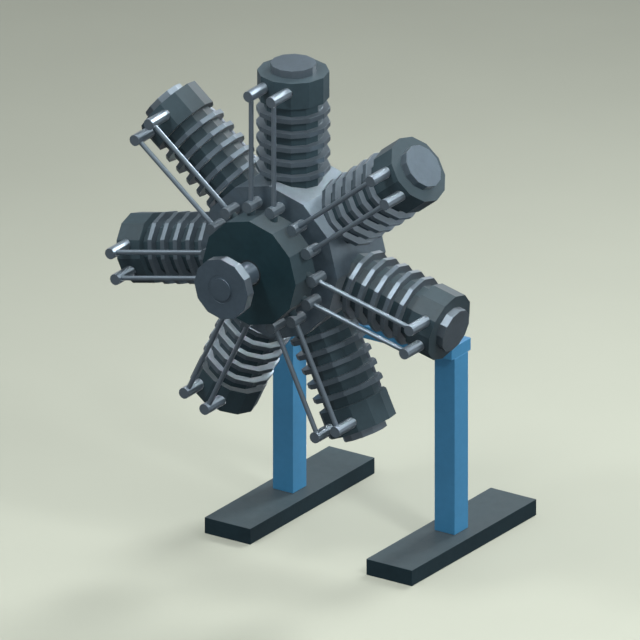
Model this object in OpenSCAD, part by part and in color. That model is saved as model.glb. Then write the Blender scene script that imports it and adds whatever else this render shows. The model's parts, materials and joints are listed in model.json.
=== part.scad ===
// Seven-cylinder air-cooled radial engine on a two-post display stand.
// Millimetres. X runs across the posts, -Y is the propeller side, Z is up.
// Origin: middle of the overall box, on the floor under the feet.
// Every cylinder is drawn in its own frame: local Z runs outwards along the bore,
// local X is tangential and local Y stays parallel to the crankshaft.

/* [Placement] */
// Height of the crankshaft axis above the floor
axis_z = 833; // [828:1:845]
// Distance from the cylinder plane back to the plane of the posts
post_back = 333; // [328:1:345]

/* [Crankcase] */
// Corner radius of the twelve-sided crankcase drum
case_r = 197; // [196:0.5:199]
// Half width of the drum along the crankshaft
case_hw = 104.5; // [104:0.5:105]
// Radius of the round crank chamber
chamber_r = 172; // [170:1:174]
// Corner radius of the twelve-sided nose case
nose_r = 134.5; // [134:0.5:136]
// Distance of the nose case's front face from the cylinder plane
nose_front = 190.5; // [188:0.5:192]

/* [Propeller shaft] */
// Corner radius of the twelve-sided propeller flange
flange_r = 77.5; // [74:0.5:80]
// Thickness of the propeller flange
flange_t = 26; // [22:1:28]
// Distance of the flange's front face from the cylinder plane
flange_front = 312; // [306:1:316]
// Radius of the hub sleeve behind the flange
sleeve_r = 29; // [29:0.5:31]
// Radius of the pilot nut in the middle of the flange
pilot_r = 28; // [27:0.5:28]
// Height of the pilot nut in front of the flange face
pilot_h = 3; // [3:0.5:5]

/* [Cylinders] */
// Radius of the bore
bore_r = 57; // [57:0.5:57]
// Corner radius of the twelve-sided barrel between the fins
barrel_r = 71; // [70.5:0.5:72]
// Corner radius of the cooling fins
fin_r = 89.5; // [88:0.5:90]
// Distance from the crank axis to the underside of the lowest fin
fin_base = 207.3; // [206.5:0.1:208]
// Spacing of the fins
fin_pitch = 37.5; // [37:0.1:37.6]
// Thickness of each fin
fin_t = 11.8; // [11:0.1:13]
// Corner radius of the cylinder head
head_r = 87; // [85:0.5:88]
// Distance from the crank axis to the underside of the head
head_base = 394.5; // [394:0.5:395]
// Distance from the crank axis to the top of the head
head_top = 462; // [461:0.5:463]
// Corner radius of the cap on the head
cap_r = 55.7; // [55:0.1:57]
// Height of the cap
cap_h = 20; // [18:0.5:21]

/* [Crank train] */
// Crank throw
throw_r = 58; // [58:1:58]
// Distance from the crankpin to each knuckle pin
knuckle_r = 50; // [50:1:50]
// Length of a link rod between its pins
link_l = 200; // [199:0.5:201]

/* [Valve gear] */
// Distance of each pushrod from the cylinder's middle plane
rod_x = 32.7; // [32.4:0.1:33]
// Distance of the pushrods in front of the cylinder plane
rod_y = 133; // [132:0.5:134]
// Corner radius of the twelve-sided rocker boxes
rocker_box_r = 14; // [13.8:0.1:14]
// Distance of the rocker boxes' front ends from the cylinder plane
rocker_front = 147; // [146:0.5:149]
// Distance from the crank axis to the rocker boxes' axes
rocker_z = 435.4; // [435:0.1:436]
// Corner radius of the twelve-sided tappet boxes
tappet_box_r = 14.4; // [14.2:0.1:14.6]
// Distance of the tappet boxes' front ends from the cylinder plane
tappet_front = 152.6; // [151:0.1:155]
// Distance from the crank axis to the tappet boxes' axes
tappet_z = 149; // [149:0.5:150]
// Radius of the pushrod cover tubes
tube_r = 6; // [5.5:0.1:6.2]
// Valve lift
lift = 6; // [5:0.5:6]

/* [Stand] */
// Length of each foot plate along the crankshaft
foot_l = 538; // [530:1:550]
// Width of each foot plate
foot_w = 132; // [128:1:140]
// Thickness of each foot plate
foot_t = 41; // [38:0.5:44]
// Distance of the feet and posts from the middle
foot_x = 233.5; // [230:0.5:236]
// Side of the square posts
post_w = 58; // [54:0.5:60]
// Height of the underside of the cross beam
beam_z = 499.5; // [495:0.5:503]
// Thickness of the cross beam
beam_t = 31.7; // [30:0.1:34]
// Depth of the cross beam
beam_d = 83; // [80:1:88]

/* [Hidden] */

count = 7;                       // cylinders
step_a = 360 / count;
gap = 0.05;                      // radial running clearance
eng_y = -((post_back + foot_l / 2) - (flange_front + pilot_h)) / 2;
post_y = eng_y + post_back;

case_col = [0.27, 0.32, 0.36];
head_col = [0.20, 0.26, 0.30];
fin_col = [0.36, 0.40, 0.43];
barrel_col = [0.10, 0.15, 0.18];
steel_col = [0.50, 0.54, 0.57];
dark_col = [0.13, 0.17, 0.20];
alloy_col = [0.68, 0.70, 0.72];
bronze_col = [0.72, 0.55, 0.30];
blue_col = [0.22, 0.42, 0.58];
foot_col = [0.24, 0.30, 0.33];

journal_r = 24;                  // crankshaft journals
pin_r = 25;                      // crankpin
cheek_in = 24;                   // inner faces of the crank cheeks
cheek_out = 46;                  // outer faces of the crank cheeks
wall_in = 88;                    // inner faces of the crankcase walls
bush_r = 36;                     // outside of the main bearings
boss_r = 50;                     // outside of the front boss, which carries the cam ring
boss_y = 124;                    // front end of that boss
skirt_r = 66;                    // barrel spigot in the crankcase
skirt_z = 150;                   // lower end of the spigot
roof_z = 380;                    // roof of the combustion chamber
wrist_r = 11;                    // wrist pins
crown_h = 52;                    // piston crown above its pin
skirt_h = 38;                    // piston skirt below its pin
valve_y = -10;                   // valves, along the crankshaft
port_z = 404;                    // height of the ports
pivot_y = -72;                   // rocker pivots
arm = rod_y + pivot_y;           // pushrod arm of a rocker
tilt = asin(lift / 2 / arm);     // a rocker at rest leans by this much
spring_h = rocker_z - 423.6;     // length of a closed valve's spring
cam_y0 = 125;                    // cam track, from cam_y0 to cam_y1 in front
cam_y1 = 141;
idler_x = 72;                    // centre of the cam idler
plenum_y = 124;                  // centre of the intake pipes where they leave the rear cover
pipe_y = 104;                    // centre of the intake pipes behind the barrels
side = [-1, 1];                  // intake is at -1, exhaust at +1

function phi(i) = i * step_a;
// wrist pin of cylinder i from the crank axis, with the crank at the top
function wrist(i) = throw_r * cos(phi(i)) + knuckle_r + sqrt(link_l * link_l - pow(throw_r * sin(phi(i)), 2));
function lean(i) = asin(throw_r * sin(phi(i)) / link_l);

module eng() translate([0, eng_y, axis_z]) children();
module in_cyl(i) translate([0, eng_y, axis_z]) rotate([0, phi(i), 0]) children();
module ycyl(r, y0, y1, fn = 64) translate([0, y0, 0]) rotate([-90, 0, 0]) cylinder(r = r, h = y1 - y0, $fn = fn);
module xcyl(r, x0, x1, fn = 48) translate([x0, 0, 0]) rotate([0, 90, 0]) cylinder(r = r, h = x1 - x0, $fn = fn);
module zcyl(r, z0, z1, fn = 64) translate([0, 0, z0]) cylinder(r = r, h = z1 - z0, $fn = fn);
module yext(y0, y1) translate([0, y0, 0]) rotate([-90, 0, 0]) linear_extrude(y1 - y0) children();

// Involute gear outline: m module, z teeth, a addendum, d dedendum, b half backlash at the pitch circle
pressure = 25;
function inv(t) = tan(t) * 180 / PI - t;
function half_tooth(m, z, b, q) = 90 / z - b / (m * z / 2) * 180 / PI + inv(pressure)
    - (q <= m * z / 2 * cos(pressure) ? 0 : inv(acos(m * z / 2 * cos(pressure) / q)));
function flank_r(m, z, a, d, n) = let (lo = max(m * z / 2 * cos(pressure), m * z / 2 - d), hi = m * z / 2 + a)
    [m * z / 2 - d, for (j = [0:n]) lo + (hi - lo) * j / n + (j == 0 ? 0.02 : 0)];
module gear_2d(m, z, a, d, b, n = 3) {
    q = flank_r(m, z, a, d, n);
    polygon([for (k = [0:z - 1]) each concat(
        [for (j = [0:n + 1]) let (t = k * 360 / z - half_tooth(m, z, b, q[j])) q[j] * [cos(t), sin(t)]],
        [for (j = [n + 1:-1:0]) let (t = k * 360 / z + half_tooth(m, z, b, q[j])) q[j] * [cos(t), sin(t)]])]);
}

module drum() ycyl(case_r, -case_hw, case_hw, 12);

// ---------- casings ----------

module crankcase() color(case_col) eng() {
    difference() {
        union() {
            difference() {
                drum();
                ycyl(chamber_r, -wall_in, wall_in);
            }
            ycyl(boss_r, -boss_y, -case_hw + 1);
            ycyl(boss_r, -wall_in - 1, -66);
            ycyl(boss_r, 66, wall_in + 1);
        }
        ycyl(bush_r, -boss_y - 1, -60);
        ycyl(bush_r, 60, case_hw + 1);
        for (i = [0:count - 1]) rotate([0, phi(i), 0]) zcyl(skirt_r + 0.2, 120, case_r + 3);
        for (i = [0:count - 1]) rotate([0, phi(i) + step_a / 2 + 11, 0]) translate([0, 0, 130]) ycyl(4, case_hw - 12, case_hw + 1, 24);
    }
}

module nose_case() color(case_col) eng() {
    difference() {
        union() {
            difference() {
                ycyl(nose_r, -nose_front, -case_hw, 12);
                ycyl(118, -nose_front + 10.5, -case_hw + 1);
            }
            translate([idler_x, 0, 0]) ycyl(15, -nose_front + 10, -162, 32);
        }
        ycyl(34, -nose_front - 1, -nose_front + 12);
        translate([idler_x, 0, 0]) ycyl(7, -nose_front + 3, -160, 32);
        for (i = [0:count - 1]) rotate([0, phi(i), 0]) for (s = side)
            translate([s * rod_x, -rod_y, 0]) zcyl(10.05, 100, 140, 32);
    }
}

module rear_cover() color(case_col) eng() {
    difference() {
        union() {
            ycyl(96, case_hw, 146, 12);
            ycyl(52, 145, 172, 12);
        }
        ycyl(82, case_hw - 1, 138);
        ycyl(26, 130, 164);
        for (a = [45:90:315]) rotate([0, a, 0]) translate([0, 0, 40]) ycyl(4.2, 156, 173, 24);
        for (i = [0:count - 1]) rotate([0, phi(i), 0]) translate([0, plenum_y, 0]) zcyl(12.05, 70, 100, 32);
    }
}

module shaft_seal() color(dark_col) eng() difference() {
    ycyl(34, -nose_front, -nose_front + 10.5);
    ycyl(sleeve_r + gap, -nose_front - 1, -nose_front + 12);
}

module main_bearings() color(bronze_col) eng() for (y = [[-122, -66], [66, 103]]) difference() {
    ycyl(bush_r, y[0], y[1]);
    ycyl(journal_r + gap, y[0] - 1, y[1] + 1);
}

// ---------- cylinders ----------

module cylinder_barrels() color(barrel_col) for (i = [0:count - 1]) difference() {
    union() {
        difference() {
            in_cyl(i) zcyl(barrel_r, 175, head_base, 12);
            eng() drum();
        }
        in_cyl(i) zcyl(skirt_r, skirt_z, 215);
        in_cyl(i) for (k = [0:4]) zcyl(fin_r, fin_base + k * fin_pitch, fin_base + k * fin_pitch + fin_t, 12);
    }
    in_cyl(i) zcyl(bore_r, skirt_z - 1, head_base + 1);
}

module cylinder_heads() color(head_col) for (i = [0:count - 1]) in_cyl(i) difference() {
    union() {
        zcyl(head_r, head_base, head_top, 12);
        zcyl(bore_r - 0.1, roof_z, head_base + 1);
    }
    for (s = side) translate([s * rod_x, 0, 0]) {
        translate([0, 0, rocker_z]) ycyl(10.5, -62, 3, 48);
        translate([0, 0, rocker_z]) ycyl(rocker_box_r + gap, -95, -60, 48);
        translate([0, valve_y, 0]) {
            zcyl(19, roof_z - 1, port_z, 48);
            zcyl(13, 417.5, head_top + 1, 48);
            zcyl(6, port_z - 2, 420, 32);
        }
    }
    // exhaust port, straight out of the back
    translate([rod_x, 0, port_z]) ycyl(10, valve_y, 95, 48);
    // intake port, slanting to the middle of the back
    translate([-rod_x, valve_y, port_z]) rotate([0, 0, -atan2(rod_x, 84 - valve_y)]) ycyl(10, 0, 100, 48);
    translate([0, 0, port_z]) ycyl(12.05, 80, 95, 48);
    // spark plug hole, from the back down into the chamber
    translate([12, 24, roof_z]) rotate([-50, 0, 0]) zcyl(7, -12, 52, 32);
    translate([12, 24, roof_z]) rotate([-50, 0, 0]) zcyl(12.5, 52, 100, 32);
}

module head_caps() color(fin_col) for (i = [0:count - 1]) in_cyl(i) difference() {
    zcyl(cap_r, head_top, head_top + cap_h, 12);
    zcyl(47.5, head_top - 1, head_top + cap_h - 6);
}

// the flats of the small boxes stand the same way on every cylinder
module small_box(i, r, y0, y1) rotate([0, -phi(i) - 3, 0]) ycyl(r, y0, y1, 12);

module rocker_box(i, s) translate([s * rod_x, 0, rocker_z]) difference() {
    small_box(i, rocker_box_r, -rocker_front, -60.2);
    ycyl(10.5, -rocker_front + 4, -59, 48);
    translate([0, -rod_y, 0]) zcyl(tube_r, -20, -5, 32);
    translate([0, pivot_y, 0]) xcyl(3.5, -20, 20, 24);
}
module rocker_boxes() color(steel_col) for (i = [0:count - 1]) in_cyl(i) for (s = side) rocker_box(i, s);

module rocker_shafts() color(steel_col) for (i = [0:count - 1]) in_cyl(i) for (s = side)
    translate([s * rod_x, pivot_y, rocker_z]) xcyl(3.5, -13, 13, 24);

module valve_guides() color(bronze_col) for (i = [0:count - 1]) in_cyl(i) for (s = side)
    translate([s * rod_x, valve_y, 0]) difference() {
        zcyl(6, port_z - 2, 420, 32);
        zcyl(3 + gap, port_z - 3, 421, 32);
    }

// a pleated sleeve of the spring's length and width, between the head and the retainer
module valve_springs() color(steel_col) for (i = [0:count - 1]) in_cyl(i) for (s = side)
    translate([s * rod_x, valve_y, 417.5]) rotate_extrude($fn = 48) polygon(concat(
        [for (k = [0:8]) [k % 2 == 0 ? 11.5 : 9.5, k * spring_h / 8]],
        [for (k = [8:-1:0]) [k % 2 == 0 ? 9.7 : 7.7, k * spring_h / 8]]));

module spark_plugs() color(alloy_col) for (i = [0:count - 1]) in_cyl(i)
    translate([12, 24, roof_z]) rotate([-50, 0, 0]) {
        zcyl(7, 4, 52, 32);
        zcyl(11.5, 52, 62, 6);
        zcyl(8.5, 62, 70, 32);
        zcyl(5.5, 70, 86, 32);
        zcyl(3, 86, 91, 24);
    }

// ---------- valve gear ----------

module tappet_boxes() color(steel_col) for (i = [0:count - 1]) in_cyl(i) for (s = side)
    translate([s * rod_x, 0, 0]) difference() {
        translate([0, 0, tappet_z]) small_box(i, tappet_box_r, -tappet_front, -case_hw);
        translate([0, -rod_y, 0]) zcyl(10, 120, 157, 32);
        translate([0, -rod_y, 0]) zcyl(tube_r, 150, 170, 32);
    }

module tappet_guides() color(bronze_col) for (i = [0:count - 1]) in_cyl(i) for (s = side)
    translate([s * rod_x, -rod_y, 0]) difference() {
        zcyl(10, 113, 157, 32);
        zcyl(6 + gap, 112, 158, 32);
    }

module pushrod_tubes() color(steel_col) for (i = [0:count - 1]) in_cyl(i) for (s = side)
    translate([s * rod_x, -rod_y, 0]) difference() {
        zcyl(tube_r, 158.5, rocker_z - 9.5, 32);
        zcyl(4.6, 157, rocker_z - 8, 32);
    }

// a pushrod with its tappet foot
module pushrod_piece() {
    zcyl(6, 106.5, 148, 32);
    zcyl(3.5, 147, rocker_z - 3 - lift / 2 - 0.9, 24);
}
module rocker_piece() rotate([tilt, 0, 0]) difference() {
    union() {
        translate([-4, -arm - 4, -3]) cube([8, 2 * arm + 9, 6]);
        xcyl(6.5, -4, 4, 32);
    }
    xcyl(3.5 + gap, -5, 5, 24);
}
module valve_piece() {
    zcyl(20.5, roof_z - 5, roof_z - 0.4, 48);
    translate([0, 0, roof_z - 0.5]) cylinder(r1 = 12, r2 = 3, h = 14, $fn = 48);
    zcyl(3, roof_z - 1, rocker_z - 0.8, 24);
    zcyl(11, rocker_z - 6, rocker_z - 4, 32);
}

module pushrods() color(steel_col) for (i = [1:count - 1]) in_cyl(i) for (s = side) translate([s * rod_x, -rod_y, 0]) pushrod_piece();
module rockers() color(steel_col) for (i = [1:count - 1]) in_cyl(i) for (s = side) translate([s * rod_x, pivot_y, rocker_z]) rocker_piece();
module valves() color(steel_col) for (i = [1:count - 1]) in_cyl(i) for (s = side) translate([s * rod_x, valve_y, 0]) valve_piece();

// the two trains of the top cylinder
module train_rod(s) color(steel_col) in_cyl(0) translate([s * rod_x, -rod_y, 0]) pushrod_piece();
module train_rocker(s) color(steel_col) in_cyl(0) translate([s * rod_x, pivot_y, rocker_z]) rocker_piece();
module train_valve(s) color(steel_col) in_cyl(0) translate([s * rod_x, valve_y, 0]) valve_piece();
module pushrod_1_intake() train_rod(-1);
module pushrod_1_exhaust() train_rod(1);
module rocker_1_intake() train_rocker(-1);
module rocker_1_exhaust() train_rocker(1);
module valve_1_intake() train_valve(-1);
module valve_1_exhaust() train_valve(1);

module cam_ring() color(steel_col) eng() difference() {
    union() {
        ycyl(100, -cam_y1, -106);
        for (a = [60, 180, 300]) rotate([0, a, 0]) translate([0, 0, 78]) ycyl(30, -cam_y1, -cam_y0);
    }
    yext(-cam_y1 - 1, -cam_y0 + 5) gear_2d(1.8, 96, 2.25, 1.26, -0.12, 2);
    ycyl(89, -cam_y0 - 0.1, -114);
    ycyl(boss_r + gap, -cam_y1, -100);
}

module cam_idler() color(steel_col) eng() translate([idler_x, 0, 0]) difference() {
    union() {
        yext(-147, -127) gear_2d(1.8, 16, 1.26, 2.25, 0.12, 3);
        rotate([0, 7.5, 0]) yext(-158, -146) gear_2d(3, 24, 2.1, 3.75, 0.12, 3);
    }
    ycyl(7 + gap, -160, -120, 32);
}

module idler_pin() color(steel_col) eng() translate([idler_x, 0, 0]) {
    ycyl(7, -nose_front + 4, -125.5, 32);
    ycyl(10, -125.5, -121.5, 32);
}

// a bend in the plane of the cylinder's axis and the crankshaft, around (y, z), from a0 to a1
module bend(y, z, a0, a1, q, r) translate([0, y, z]) rotate([90, 0, 90]) rotate([0, 0, a0])
    rotate_extrude(angle = a1 - a0, $fn = 48) translate([q, 0]) circle(r = r, $fn = 32);
module intake_path(r) {
    t = 26.5;                    // slant of the middle stretch
    q = 30;                      // radius of the two easy bends
    l = (plenum_y - pipe_y - 2 * q * (1 - cos(t))) / sin(t);
    z1 = 198;
    z2 = z1 + 2 * q * sin(t) + l * cos(t);
    translate([0, plenum_y, 0]) zcyl(r, 84, z1, 32);
    bend(plenum_y - q, z1, 0, t, q, r);
    translate([0, plenum_y - q + q * cos(t), z1 + q * sin(t)]) rotate([t, 0, 0]) zcyl(r, 0, l, 32);
    bend(pipe_y + q, z2, 180, 180 + t, q, r);
    translate([0, pipe_y, 0]) zcyl(r, z2, port_z - 15, 32);
    bend(pipe_y - 15, port_z - 15, 0, 90, 15, r);
    translate([0, 0, port_z]) ycyl(r, 80.5, pipe_y - 15, 32);
}
module intake_pipes() color(case_col) for (i = [0:count - 1]) in_cyl(i) intake_path(12);

// ---------- crank train ----------

module cheek(y0, y1) difference() {
    union() {
        ycyl(34, y0, y1);
        translate([0, 0, throw_r]) ycyl(34, y0, y1);
        translate([-34, y0, 0]) cube([68, y1 - y0, throw_r]);
        intersection() {
            translate([-32, y0, -90]) cube([64, y1 - y0, 90]);
            ycyl(80, y0, y1);
        }
    }
    translate([0, 0, throw_r / 2]) ycyl(3.5 + gap, y0 - 1, y1 + 1, 24);
}

module crankshaft() color(steel_col) eng() {
    ycyl(journal_r, -flange_front + 6, -cheek_out + 1);
    cheek(-cheek_out, -cheek_in);
    translate([0, 0, throw_r]) ycyl(pin_r, -cheek_in - 1, cheek_in);
    translate([0, 0, throw_r]) ycyl(18, cheek_in - 1, cheek_out, 48);
}

module rear_crank_web() color(steel_col) eng() difference() {
    union() {
        cheek(cheek_in, cheek_out);
        ycyl(journal_r, cheek_out - 1, 112);
        ycyl(14, 111, 134, 48);
    }
    translate([0, 0, throw_r]) ycyl(18, cheek_in - 1, cheek_out + 1, 48);
}

module counterweights() color(dark_col) eng() for (y = [[-50, -22], [22, 50]]) intersection() {
    difference() {
        ycyl(140, y[0], y[1]);
        ycyl(80, y[0] - 1, y[1] + 1);
    }
    yext(y[0] - 1, y[1] + 1) polygon([[0, 20], [-170, 125], [-170, 170], [170, 170], [170, 125]]);
}

module crank_gear() color(steel_col) eng() difference() {
    yext(-158, -146) gear_2d(3, 24, 2.1, 3.75, 0.12, 3);
    ycyl(journal_r, -160, -140);
}

module impeller() color(alloy_col) eng() difference() {
    union() {
        ycyl(70, 114, 117);
        ycyl(22, 114, 132, 48);
        for (a = [0:30:330]) rotate([0, a, 0]) translate([-1.5, 116, 18]) cube([3, 14, 50]);
    }
    ycyl(14, 110, 140, 48);
}

module prop_flange() color(case_col) eng() difference() {
    union() {
        ycyl(flange_r, -flange_front, -flange_front + flange_t, 12);
        ycyl(sleeve_r, -flange_front + flange_t - 1, -172);
    }
    ycyl(journal_r, -flange_front - 1, -170);
    difference() {
        ycyl(36, -flange_front - 1, -flange_front + 0.6);
        ycyl(pilot_r - 0.5, -flange_front - 2, -flange_front + 1);
    }
}

module pilot_nut() color(steel_col) eng() {
    ycyl(pilot_r, -flange_front - pilot_h, -flange_front);
    ycyl(journal_r, -flange_front - 1, -flange_front + 6);
}

module oil_plug() color(bronze_col) eng() translate([0, 0, throw_r / 2]) ycyl(3.5, -cheek_out - 0.6, -cheek_in + 0.4, 24);

// the master rod carries the six knuckle pins in its big end
module master_rod() { master_rod_body(); knuckle_pins(); }
module master_rod_body() color(alloy_col) eng() translate([0, 0, throw_r]) difference() {
    union() {
        ycyl(37, -19.5, 19.5);
        for (y = [[-19.5, -11.5], [11.5, 19.5]]) ycyl(63, y[0], y[1]);
        translate([-9, -9, 30]) cube([18, 18, 208]);
        translate([0, 0, knuckle_r + link_l]) ycyl(17, -12, 12, 48);
    }
    ycyl(pin_r + gap, -20, 20);
    translate([0, 0, knuckle_r + link_l]) ycyl(wrist_r + gap, -13, 13, 48);
    for (i = [1:count - 1]) rotate([0, phi(i), 0]) translate([0, 0, knuckle_r]) ycyl(7.02, -20, 20, 32);
}
module knuckle_pins() color(steel_col) eng() translate([0, 0, throw_r])
    for (i = [1:count - 1]) rotate([0, phi(i), 0]) translate([0, 0, knuckle_r]) ycyl(7, -19.5, 19.5, 32);

module link_rod(i) color(alloy_col) in_cyl(i) translate([-throw_r * sin(phi(i)), 0, throw_r * cos(phi(i)) + knuckle_r]) rotate([0, lean(i), 0]) difference() {
    union() {
        ycyl(12, -11, 11, 32);
        translate([-7, -8, 5]) cube([14, 16, link_l - 15]);
        translate([0, 0, link_l]) ycyl(17, -12, 12, 48);
    }
    ycyl(7 + gap, -13, 13, 32);
    translate([0, 0, link_l]) ycyl(wrist_r + gap, -13, 13, 48);
}
module link_rod_2() link_rod(1);
module link_rod_3() link_rod(2);
module link_rod_4() link_rod(3);
module link_rod_5() link_rod(4);
module link_rod_6() link_rod(5);
module link_rod_7() link_rod(6);

// a piston with its three rings and its hollow pin
module piston(i) in_cyl(i) translate([0, 0, wrist(i)]) {
    color(alloy_col) difference() {
        union() {
            difference() {
                zcyl(bore_r - 0.15, -skirt_h, crown_h);
                zcyl(49, -skirt_h - 1, 40);
            }
            intersection() {
                zcyl(50, -30, 41);
                union() for (y = [[-50, -13], [13, 50]]) {
                    ycyl(19, y[0], y[1], 48);
                    translate([-12, y[0], 0]) cube([24, y[1] - y[0], 41]);
                }
            }
        }
        ycyl(wrist_r + 0.02, -60, 60, 48);
        for (z = [26, 34, 42]) difference() {
            zcyl(60, z, z + 3);
            zcyl(53, z - 1, z + 4);
        }
    }
    color(dark_col) for (z = [26, 34, 42]) difference() {
        zcyl(bore_r - gap, z + 0.05, z + 2.95);
        zcyl(53.2, z - 1, z + 4);
    }
    color(steel_col) difference() {
        ycyl(wrist_r, -50, 50, 48);
        ycyl(6, -51, 51, 32);
    }
}
module piston_1() piston(0);
module piston_2() piston(1);
module piston_3() piston(2);
module piston_4() piston(3);
module piston_5() piston(4);
module piston_6() piston(5);
module piston_7() piston(6);

// ---------- mount and stand ----------

module mount_ring() color(dark_col) eng() difference() {
    ycyl(148, case_hw, 110.5);
    ycyl(112, case_hw - 1, 112);
    for (i = [0:count - 1]) rotate([0, phi(i) + step_a / 2 + 11, 0]) translate([0, 0, 130]) ycyl(4.2, case_hw - 1, 112, 24);
}

module mount_bolts() color(steel_col) eng() for (i = [0:count - 1]) rotate([0, phi(i) + step_a / 2 + 11, 0]) translate([0, 0, 130]) {
    ycyl(4, case_hw - 11, 111, 24);
    ycyl(8, 110.5, 116, 6);
}

// four slanting tubes from the ring to the plate
module mount_struts() color(dark_col) eng() for (i = [0, 2, 4, 6]) intersection() {
    a = phi(i) + step_a / 2;
    p = [130 * sin(a), 110, 130 * cos(a)];
    q = [(sin(a) > 0 ? 24 : -24), 306, (cos(a) > 0 ? 24 : -24)];
    d = q - p;
    translate(p - 0.1 * d) rotate([0, acos(d[2] / norm(d)), atan2(d[1], d[0])]) cylinder(r = 9, h = 1.2 * norm(d), $fn = 32);
    translate([-200, 110.5, -200]) cube([400, 195.5, 400]);
}

// square column on the beam, with the plate that takes the slanting tubes
module mount_column() color(dark_col) {
    difference() {
        translate([-20, post_y - 20, beam_z + beam_t]) cube([40, 40, axis_z + 40 - beam_z - beam_t]);
        translate([-16, post_y - 16, beam_z + beam_t - 1]) cube([32, 32, axis_z + 37 - beam_z - beam_t]);
    }
    eng() translate([-36, 306, -36]) cube([72, 8, 72]);
}

module cross_beam() color(blue_col) translate([0, post_y, 0]) difference() {
    translate([-foot_x - post_w / 2, -beam_d / 2, beam_z]) cube([2 * foot_x + post_w, beam_d, beam_t]);
    translate([-foot_x - post_w / 2 + 6, -beam_d / 2 + 5, beam_z + 5]) cube([2 * foot_x + post_w - 12, beam_d - 10, beam_t - 10]);
}

module post(s) color(blue_col) translate([s * foot_x, post_y, foot_t]) difference() {
    translate([-post_w / 2, -post_w / 2, 0]) cube([post_w, post_w, beam_z - foot_t]);
    translate([-post_w / 2 + 5, -post_w / 2 + 5, -1]) cube([post_w - 10, post_w - 10, beam_z - foot_t + 2]);
}
module left_post() post(-1);
module right_post() post(1);

module foot(s) color(foot_col) translate([s * foot_x - foot_w / 2, post_y - foot_l / 2, 0]) cube([foot_w, foot_l, foot_t]);
module left_foot() foot(-1);
module right_foot() foot(1);

crankcase();
nose_case();
rear_cover();
cylinder_barrels();
cylinder_heads();
head_caps();
rocker_boxes();
rocker_shafts();
valve_guides();
valve_springs();
spark_plugs();
tappet_boxes();
tappet_guides();
pushrod_tubes();
pushrods();
rockers();
valves();
intake_pipes();
main_bearings();
shaft_seal();
idler_pin();
mount_ring();
mount_bolts();
mount_struts();
mount_column();
cross_beam();
left_post();
right_post();
left_foot();
right_foot();
crankshaft();
rear_crank_web();
counterweights();
crank_gear();
impeller();
prop_flange();
pilot_nut();
oil_plug();
master_rod();
link_rod_2();
link_rod_3();
link_rod_4();
link_rod_5();
link_rod_6();
link_rod_7();
piston_1();
piston_2();
piston_3();
piston_4();
piston_5();
piston_6();
piston_7();
cam_ring();
cam_idler();
pushrod_1_intake();
pushrod_1_exhaust();
rocker_1_intake();
rocker_1_exhaust();
valve_1_intake();
valve_1_exhaust();
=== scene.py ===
import json
import math

import bmesh
import bpy
from mathutils import Matrix, Vector


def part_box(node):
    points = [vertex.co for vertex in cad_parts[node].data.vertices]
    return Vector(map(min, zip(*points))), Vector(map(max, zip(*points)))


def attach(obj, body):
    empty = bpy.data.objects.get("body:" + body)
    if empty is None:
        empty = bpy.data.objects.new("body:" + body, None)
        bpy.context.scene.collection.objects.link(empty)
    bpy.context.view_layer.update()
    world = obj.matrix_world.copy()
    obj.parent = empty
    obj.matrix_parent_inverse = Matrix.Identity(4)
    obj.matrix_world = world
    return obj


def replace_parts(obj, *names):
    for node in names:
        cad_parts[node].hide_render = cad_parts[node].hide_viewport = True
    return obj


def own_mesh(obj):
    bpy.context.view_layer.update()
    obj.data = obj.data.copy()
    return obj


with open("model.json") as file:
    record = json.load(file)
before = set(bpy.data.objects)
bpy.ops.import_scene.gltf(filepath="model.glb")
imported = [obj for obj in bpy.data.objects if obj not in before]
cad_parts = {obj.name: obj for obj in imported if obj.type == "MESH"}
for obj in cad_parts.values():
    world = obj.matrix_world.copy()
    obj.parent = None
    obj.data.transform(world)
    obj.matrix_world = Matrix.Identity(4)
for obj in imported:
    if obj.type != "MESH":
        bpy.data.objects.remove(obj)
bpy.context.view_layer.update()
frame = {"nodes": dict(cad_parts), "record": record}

scene = bpy.context.scene
nodes = frame["nodes"]

# ---------------------------------------------------------------- camera
# near-orthographic view: azimuth 33.8, elevation 22.6 degrees
AZ, EL = math.radians(33.8), math.radians(22.6)
right = Vector((math.cos(AZ), math.sin(AZ), 0))
back = Vector((math.sin(AZ) * math.cos(EL), -math.cos(AZ) * math.cos(EL), math.sin(EL)))
up = back.cross(right)
hub = Vector((0, -0.1435, 0.834))
aim = hub + right * 0.0641 - up * 0.174
cam_data = bpy.data.cameras.new("camera")
cam_data.type = "ORTHO"
cam_data.ortho_scale = 1.536
cam_data.clip_end = 100
cam = bpy.data.objects.new("camera", cam_data)
scene.collection.objects.link(cam)
cam.matrix_world = Matrix((
    (right.x, up.x, back.x, aim.x + back.x * 8),
    (right.y, up.y, back.y, aim.y + back.y * 8),
    (right.z, up.z, back.z, aim.z + back.z * 8),
    (0, 0, 0, 1)))
scene.camera = cam

scene.view_settings.view_transform = "Standard"
scene.view_settings.look = "None"
scene.view_settings.exposure = 0
scene.view_settings.gamma = 1


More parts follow.
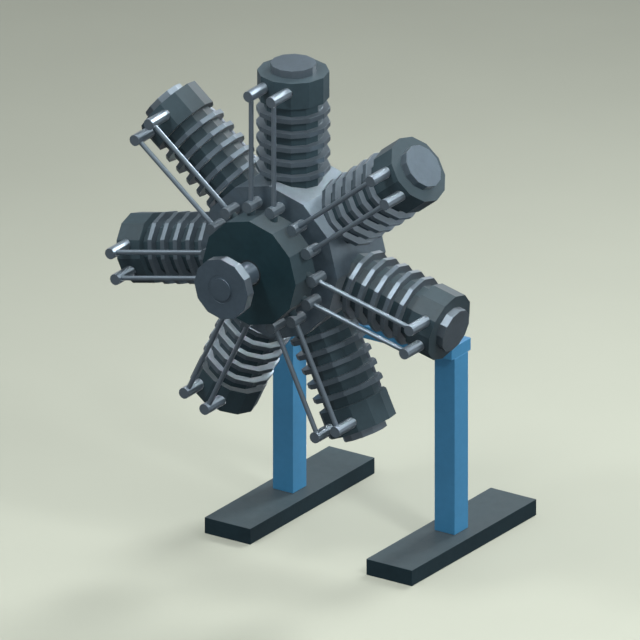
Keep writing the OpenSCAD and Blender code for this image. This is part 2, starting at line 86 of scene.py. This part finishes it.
# ---------------------------------------------------------------- node helpers
class Mat:
    """A procedural material: small helpers around one node tree."""

    def __init__(self, name):
        self.m = bpy.data.materials.new(name)
        self.m.use_nodes = True
        self.t = self.m.node_tree
        self.t.nodes.clear()
        self.out = self.t.nodes.new("ShaderNodeOutputMaterial")
        self.b = self.t.nodes.new("ShaderNodeBsdfPrincipled")
        self.t.links.new(self.b.outputs[0], self.out.inputs["Surface"])
        self.co = self.t.nodes.new("ShaderNodeTexCoord").outputs["Object"]

    def put(self, node, key, value):
        s = node.inputs[key]
        if isinstance(value, bpy.types.NodeSocket):
            self.t.links.new(value, s)
        else:
            s.default_value = value

    def noise(self, scale, detail=3.0, rough=0.55, distortion=0.0, co=None):
        n = self.t.nodes.new("ShaderNodeTexNoise")
        self.put(n, "Vector", co or self.co)
        self.put(n, "Scale", scale)
        self.put(n, "Detail", detail)
        self.put(n, "Roughness", rough)
        self.put(n, "Distortion", distortion)
        return n.outputs["Fac"]

    def stretch(self, sx, sy, sz):
        n = self.t.nodes.new("ShaderNodeMapping")
        self.put(n, "Vector", self.co)
        self.put(n, "Scale", (sx, sy, sz))
        return n.outputs[0]

    def remap(self, x, a, b, c, d, smooth=False):
        n = self.t.nodes.new("ShaderNodeMapRange")
        n.interpolation_type = "SMOOTHSTEP" if smooth else "LINEAR"
        for k, v in zip(("Value", "From Min", "From Max", "To Min", "To Max"), (x, a, b, c, d)):
            self.put(n, k, v)
        return n.outputs[0]

    def math(self, op, a, b=0.0):
        n = self.t.nodes.new("ShaderNodeMath")
        n.operation = op
        self.put(n, 0, a)
        self.put(n, 1, b)
        return n.outputs[0]

    def mix(self, f, a, b):
        n = self.t.nodes.new("ShaderNodeMix")
        n.data_type = "RGBA"
        self.put(n, 0, f)
        for k, v in ((6, a), (7, b)):
            self.put(n, k, v if isinstance(v, bpy.types.NodeSocket) else (*v, 1))
        return n.outputs[2]

    def axis(self, k):
        n = self.t.nodes.new("ShaderNodeSeparateXYZ")
        self.put(n, 0, self.co)
        return n.outputs[k]

    def bump(self, height, strength, distance, normal=None):
        n = self.t.nodes.new("ShaderNodeBump")
        self.put(n, "Height", height)
        self.put(n, "Strength", strength)
        self.put(n, "Distance", distance)
        if normal is not None:
            self.put(n, "Normal", normal)
        return n.outputs[0]

    def set(self, **kw):
        for k, v in kw.items():
            self.put(self.b, k.replace("_", " "), v)
        return self


def shade(c, k):
    return tuple(x * k for x in c)


def finish(name, base, metallic, rough, vary=0.10, grain=420.0, bump=0.02, dist=0.0001, spec=0.5,
           rough_vary=0.03, scratch=0.0, dust=0.0, coat=0.0):
    """Enamel or machined metal: cloudy colour, fine grain, faint scratches and dust on the upper faces."""
    m = Mat(name)
    cloud = m.noise(9.0, 4.0, 0.6)
    mott = m.noise(70.0, 3.0, 0.6)
    f = m.math("ADD", m.math("MULTIPLY", cloud, 0.65), m.math("MULTIPLY", mott, 0.35))
    f = m.remap(f, 0.32, 0.68, 0.0, 1.0, True)
    col = m.mix(f, shade(base, 1 - vary), shade(base, 1 + vary))
    r = m.remap(m.noise(38.0, 4.0, 0.65), 0.3, 0.7, rough - rough_vary, rough + rough_vary)
    h = m.noise(grain, 2.0, 0.5)
    if scratch:
        s1 = m.noise(60.0, 2.0, 0.5, 0.0, m.stretch(1.0, 24.0, 24.0))
        s2 = m.noise(60.0, 2.0, 0.5, 0.0, m.stretch(24.0, 1.0, 24.0))
        line = m.math("MULTIPLY", m.remap(s1, 0.66, 0.72, 0.0, 1.0), m.remap(s2, 0.40, 0.55, 0.0, 1.0))
        col = m.mix(m.math("MULTIPLY", line, scratch), col, shade(base, 1.9))
        h = m.math("SUBTRACT", h, m.math("MULTIPLY", line, 0.6))
    if dust:
        geo = m.t.nodes.new("ShaderNodeNewGeometry")
        sep = m.t.nodes.new("ShaderNodeSeparateXYZ")
        m.put(sep, 0, geo.outputs["Normal"])
        d = m.math("MULTIPLY", m.remap(sep.outputs[2], 0.5, 1.0, 0.0, 1.0, True),
                   m.remap(m.noise(26.0, 5.0, 0.7), 0.3, 0.7, 0.42, 0.58))
        col = m.mix(m.math("MULTIPLY", d, dust), col, (0.33, 0.40, 0.42))
        r = m.math("ADD", r, m.math("MULTIPLY", d, 0.25 * dust))
    m.set(Base_Color=col, Metallic=metallic, Roughness=r, Specular_IOR_Level=spec,
          Normal=m.bump(h, bump, dist))
    if coat:
        m.set(Coat_Weight=coat, Coat_Roughness=0.25)
    return m.m


# ---------------------------------------------------------------- materials
MATS = {
    "engine_case": finish("engine_case", (0.126, 0.172, 0.208), 0.60, 0.34),
    "nose_side": finish("nose_side", (0.041, 0.069, 0.083), 0.0, 0.46, spec=0.25),
    "nose_front": finish("nose_front", (0.016, 0.043, 0.054), 0.0, 0.45, vary=0.12, spec=0.25),
    "cylinder_finish": finish("cylinder_finish", (0.122, 0.162, 0.194), 0.55, 0.32, vary=0.08, bump=0.01),
    # the barrel faces between the fins take a darker, non-metallic finish than the fins
    "barrel_between_fins_dark": finish("barrel_between_fins_dark", (0.036, 0.064, 0.078), 0.0, 0.42, vary=0.12, spec=0.30),
    "head_finish": finish("head_finish", (0.037, 0.064, 0.078), 0.0, 0.46, spec=0.30),
    "cap_finish": finish("cap_finish", (0.107, 0.147, 0.181), 0.54, 0.32),
    "cap_side": finish("cap_side", (0.196, 0.245, 0.285), 0.76, 0.34, vary=0.06, bump=0.01),
    "valve_gear_steel": finish("valve_gear_steel", (0.184, 0.236, 0.280), 0.72, 0.33, vary=0.05, bump=0.005),
    "tappet_finish": finish("tappet_finish", (0.104, 0.140, 0.167), 0.33, 0.40, vary=0.06, bump=0.005),
    "tube_steel": finish("tube_steel", (0.205, 0.261, 0.310), 0.68, 0.31, vary=0.05, bump=0.005),
    "flange_steel": finish("flange_steel", (0.092, 0.134, 0.172), 0.42, 0.34, scratch=0.06),
    "flange_edge": finish("flange_edge", (0.180, 0.225, 0.261), 0.80, 0.33, vary=0.05, bump=0.005),
    "steel": finish("steel", (0.40, 0.42, 0.44), 1.0, 0.28, scratch=0.3),
    "rod_steel": finish("rod_steel", (0.36, 0.38, 0.40), 1.0, 0.30, scratch=0.3),
    "bronze": finish("bronze", (0.34, 0.26, 0.16), 1.0, 0.40),
    "plug_metal": finish("plug_metal", (0.55, 0.55, 0.53), 1.0, 0.28),
    "pipe_finish": finish("pipe_finish", (0.080, 0.104, 0.128), 0.50, 0.32),
    "seal_rubber": finish("seal_rubber", (0.012, 0.024, 0.029), 0.0, 0.7),
    "mount_paint": finish("mount_paint", (0.040, 0.055, 0.068), 0.0, 0.45),
    "stand_blue": finish("stand_blue", (0.066, 0.297, 0.547), 0.0, 0.42, vary=0.05, spec=0.4),
    # painted shade: the top face of the cross beam takes a darker blue than the rest of the stand, standing in
    # for the shade the engine casts on it
    "stand_top_painted_shade": finish("stand_top_painted_shade", (0.048, 0.205, 0.395), 0.0, 0.42, vary=0.05, spec=0.4),
    "foot_iron": finish("foot_iron", (0.015, 0.035, 0.045), 0.0, 0.50, vary=0.12, grain=320.0, bump=0.2,
                        dist=0.0004, dust=0.19, spec=0.20),
    "light_alloy": finish("light_alloy", (0.60, 0.61, 0.62), 1.0, 0.34),
}
node_slot = {s["node"]: s["material_slot"] for s in frame["record"]["subparts"]}
own = {"pushrod_tubes": "tube_steel", "nose_case": "nose_side", "tappet_boxes": "tappet_finish",
       "tappet_guides": "nose_side"}
for name, obj in nodes.items():
    m = MATS[own.get(name, node_slot[name])]
    obj.data.materials.clear()
    obj.data.materials.append(m)


def second(name, finish_name, test):
    """The faces of a node for which test(centre, normal) holds take another finish."""
    mesh = nodes[name].data
    mesh.materials.append(MATS[finish_name])
    for p in mesh.polygons:
        p.material_index = 1 if test(p.center - axis_point, p.normal) else 0


def on_barrel(c, n):
    turn = 2 * math.pi / 7
    a = round(math.atan2(c.x, c.z) / turn) * turn
    across = c.x * math.cos(a) - c.z * math.sin(a)
    along = n.x * math.sin(a) + n.z * math.cos(a)
    return abs(along) < 0.5 and math.hypot(across, c.y) < 0.0735


axis_point = Vector((0, -0.1435, (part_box("prop_flange")[0].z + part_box("prop_flange")[1].z) / 2))
# the barrel faces between the fins take the darker finish
second("cylinder_barrels", "barrel_between_fins_dark", on_barrel)
second("nose_case", "nose_front", lambda c, n: n.y < -0.9 and c.y < -0.185)
second("head_caps", "cap_side", lambda c, n: abs(c.x * n.x + c.z * n.z) < 0.3 * math.hypot(c.x, c.z))
# painted shade: the upward faces of the cross beam take the darker blue
second("cross_beam", "stand_top_painted_shade", lambda c, n: n.z > 0.9)
second("prop_flange", "flange_edge", lambda c, n: abs(n.y) < 0.5 and n.x * c.x + n.z * c.z > 0.05)

# ---------------------------------------------------------------- edges
BEVEL = {
    "crankcase": 0.9, "nose_case": 0.8, "rear_cover": 0.8, "cylinder_barrels": 0.6, "cylinder_heads": 0.7,
    "head_caps": 0.7, "rocker_boxes": 0.35, "tappet_boxes": 0.35, "prop_flange": 0.35, "pilot_nut": 0.2,
    "mount_ring": 0.6, "mount_column": 1.2, "cross_beam": 1.5, "left_post": 1.8, "right_post": 1.8,
    "left_foot": 1.6, "right_foot": 1.6, "spark_plugs": 0.3, "mount_bolts": 0.4,
}
for name, w in BEVEL.items():
    obj = nodes[name]
    attr = obj.data.attributes.get("custom_normal")
    if attr:
        obj.data.attributes.remove(attr)
    for p in obj.data.polygons:
        p.use_smooth = True
    weld = obj.modifiers.new("weld", "WELD")
    weld.merge_threshold = 1e-6
    bev = obj.modifiers.new("edges", "BEVEL")
    bev.width = w / 1000
    bev.segments = 2
    bev.limit_method = "ANGLE"
    bev.angle_limit = math.radians(20)
    bev.harden_normals = True
    bev.use_clamp_overlap = True

# ---------------------------------------------------------------- valve springs
def springs(name, test):
    """The valve springs for which test(centre) holds, as a piece of their own."""
    src = nodes["valve_springs"]
    bm = bmesh.new()
    bm.from_mesh(src.data)
    away = [f for f in bm.faces if not test(src.matrix_world @ f.calc_center_median() - axis_point)]
    bmesh.ops.delete(bm, geom=away, context="FACES")
    mesh = bpy.data.meshes.new(name)
    bm.to_mesh(mesh)
    bm.free()
    attr = mesh.attributes.get("custom_normal")
    if attr:
        mesh.attributes.remove(attr)
    for p in mesh.polygons:
        p.use_smooth = True
        p.material_index = 0
    mesh.set_sharp_from_angle(angle=math.radians(30))
    mesh.materials.append(MATS[node_slot["valve_springs"]])
    obj = bpy.data.objects.new(name, mesh)
    scene.collection.objects.link(obj)
    obj.matrix_world = src.matrix_world.copy()
    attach(obj, "engine")
    return obj


def top(c):
    return c.z > 0.3 and abs(c.x) < 0.07


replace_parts(springs("springs_2_to_7", lambda c: not top(c)), "valve_springs")
for name, side in (("intake", -1), ("exhaust", 1)):
    # the two springs of the top cylinder, each a piece of its own with a mesh of its own (the real springs
    # shorten as their valves open)
    spring = springs("spring_1_" + name, lambda c: top(c) and c.x * side > 0)
    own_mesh(spring)

# ---------------------------------------------------------------- floor
half = 14.0
fm = bpy.data.meshes.new("floor")
fm.from_pydata([(-half, -half, 0), (half, -half, 0), (half, half, 0), (-half, half, 0)], [], [(0, 1, 2, 3)])
floor = bpy.data.objects.new("floor", fm)
scene.collection.objects.link(floor)
m = Mat("floor")
# painted shade: the floor colour darkens from the near side towards the far side, standing in for the light
# falling off away from the lamps; a faint random tone is mixed in
away = m.math("ADD", m.math("MULTIPLY", m.axis(0), -0.556), m.math("MULTIPLY", m.axis(1), 0.831))
away = m.math("ADD", m.remap(away, -0.6, 3.6, 0.0, 1.0), m.remap(m.noise(2.2, 3.0, 0.5), 0.3, 0.7, -0.03, 0.03))
base = m.mix(away, (0.500, 0.527, 0.444), (0.314, 0.329, 0.278))
m.set(Base_Color=base, Roughness=0.9, Specular_IOR_Level=0.1, Normal=m.bump(m.noise(260.0, 3.0), 0.05, 0.0005))
fm.materials.append(m.m)
floor.visible_diffuse = False
floor.visible_glossy = False


# ---------------------------------------------------------------- light
def area(name, direction, distance, size, power, color=(1, 1, 1), size_y=None, at=(0, -0.05, 0.75)):
    d = Vector(direction).normalized()
    data = bpy.data.lights.new(name, "AREA")
    data.shape = "RECTANGLE"
    data.size = size
    data.size_y = size_y or size
    data.energy = power
    data.color = color
    o = bpy.data.objects.new(name, data)
    scene.collection.objects.link(o)
    o.location = Vector(at) + d * distance
    o.rotation_euler = d.to_track_quat("Z", "Y").to_euler()
    o.visible_camera = False
    return o


def gleam(name, direction, size, radiance, size_y=None, free=False):
    """A soft panel seen only as a highlight; a free one is not hidden by neighbouring parts."""
    o = area(name, direction, 6.0, size, math.pi * size * (size_y or size) * radiance, (1, 1, 1), size_y)
    o.visible_diffuse = False
    o.data.use_shadow = False
    o.data.cycles.use_multiple_importance_sampling = not free


def wash(name, direction, strength, angle, color=(1, 1, 1)):
    """Very wide soft light without shadows or highlights."""
    data = bpy.data.lights.new(name, "SUN")
    data.energy = strength
    data.angle = math.radians(angle)
    data.color = color
    data.use_shadow = False
    data.cycles.use_multiple_importance_sampling = False
    o = bpy.data.objects.new(name, data)
    scene.collection.objects.link(o)
    o.rotation_euler = Vector(direction).to_track_quat("Z", "Y").to_euler()
    o.visible_glossy = False


area("key", (0.10, 0.74, 0.67), 3.3, 0.7, 68, (1.0, 1.0, 1.0), 0.8)
area("front", (-0.34, -0.52, 0.80), 3.2, 0.5, 33, (1.0, 1.0, 1.0), 0.6)
area("side", (0.90, -0.25, 0.75), 3.2, 0.4, 32, (1.0, 1.0, 1.0), 0.5)
gleam("high_back", (-0.15, 0.77, 0.61), 2.2, 2.6, free=True)
gleam("high_front", (-0.24, -0.50, 0.83), 2.2, 5.2, free=True)
gleam("high_right", (0.47, 0.35, 0.81), 1.9, 3.6, free=True)
gleam("high_top", (-0.22, 0.42, 0.88), 1.7, 2.0, free=True)
gleam("right_high_back", (0.37, 0.77, 0.52), 2.0, 2.5, free=True)
gleam("left", (-0.78, -0.22, 0.58), 1.6, 3.1)
gleam("low_back", (-0.25, 0.95, 0.16), 3.2, 1.2, 2.0)
gleam("left_back", (-0.74, 0.66, -0.02), 2.2, 0.5, 1.8)
gleam("right_back", (0.66, 0.75, -0.04), 2.2, 0.7, 1.8)
gleam("floor_back", (0.02, 0.77, -0.60), 4.2, 0.30, 2.6, free=True)
gleam("floor_under", (-0.15, -0.25, -0.95), 7.0, 0.20)
wash("front_left", (-0.50, -0.45, 0.74), 0.30, 60)
wash("right", (0.66, 0.05, 0.75), 1.08, 70)

world = bpy.data.worlds.new("world")
scene.world = world
world.use_nodes = True
wt = world.node_tree
wt.nodes.clear()
wo = wt.nodes.new("ShaderNodeOutputWorld")
wb = wt.nodes.new("ShaderNodeBackground")
wc = wt.nodes.new("ShaderNodeTexCoord")
ws = wt.nodes.new("ShaderNodeSeparateXYZ")
wr = wt.nodes.new("ShaderNodeValToRGB")
wm = wt.nodes.new("ShaderNodeMapRange")
wt.links.new(wc.outputs["Generated"], ws.inputs[0])
wt.links.new(ws.outputs[2], wm.inputs["Value"])
wm.inputs["From Min"].default_value = -1
wm.inputs["From Max"].default_value = 1
wt.links.new(wm.outputs[0], wr.inputs[0])
el = wr.color_ramp.elements
el[0].position = 0.0
el[0].color = (0.004, 0.005, 0.005, 1)
el[1].position = 1.0
el[1].color = (0.56, 0.58, 0.60, 1)
for position, level in ((0.20, 0.02), (0.30, 0.24), (0.50, 0.22)):
    e = el.new(position)
    e.color = (level * 0.97, level, level * 1.02, 1)
wt.links.new(wr.outputs[0], wb.inputs[0])
wb.inputs[1].default_value = 1.0
wt.links.new(wb.outputs[0], wo.inputs[0])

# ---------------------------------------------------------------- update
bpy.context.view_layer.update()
